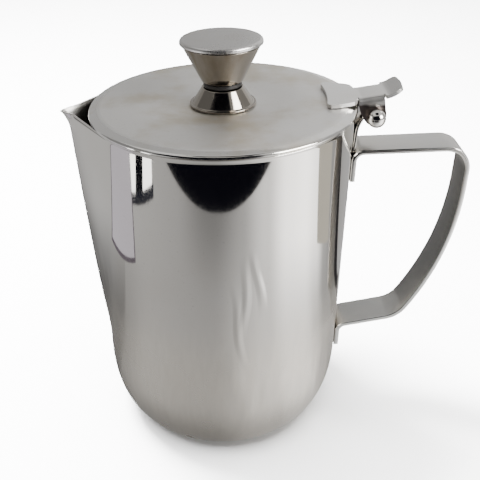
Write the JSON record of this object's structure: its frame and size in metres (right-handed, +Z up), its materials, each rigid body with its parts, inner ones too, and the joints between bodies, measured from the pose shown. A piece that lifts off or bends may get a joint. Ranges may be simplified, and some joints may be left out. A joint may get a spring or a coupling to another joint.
{
  "type": "candle melting pot",
  "caption": "Steel pouring pot with a pressed spout, bent strip handle and a lid hinged on a ball-ended pin, with thumb lever and waisted knob.",
  "frame": {"origin": "centre of the flat round base, on the surface that the pot stands on", "axes": "+Z up along the pot's axis, +X towards the handle and the hinge, -X towards the spout, the hinge pin lies along Y"},
  "size_m": [0.1592, 0.102, 0.1656],
  "materials": {
    "body_steel": "mirror polished sheet, softening to satin below the middle",
    "handle_steel": "satin faces with polished edges",
    "hinge_steel": "polished",
    "lid_steel": "satin with a polished rolled edge",
    "lever_steel": "satin with polished edges",
    "knob_steel": "polished, slightly warm",
    "cap_steel": "fine satin",
    "screw_steel": "plain turned steel",
    "black_plastic": "matt black"
  },
  "bodies": {
    "pot": {"pot_body": "body_steel", "handle": "handle_steel", "hinge_bracket": "hinge_steel"},
    "lid": {"lid_shell": "lid_steel", "thumb_lever": "lever_steel", "hinge_pin": "hinge_steel", "pin_ball_cap": "hinge_steel", "knob_collar": "knob_steel", "neck_washer": "black_plastic", "knob_cone": "knob_steel", "knob_cap": "cap_steel", "knob_nut": "screw_steel", "knob_screw": "screw_steel", "screw_washer": "screw_steel"}
  },
  "joints": [
    {"name": "lid_hinge", "type": "hinge", "parent": "pot", "child": "lid", "pos_m": [0.05715, 0, 0.1383], "axis": [0, 1, 0], "range_deg": [0, 110]}
  ]
}
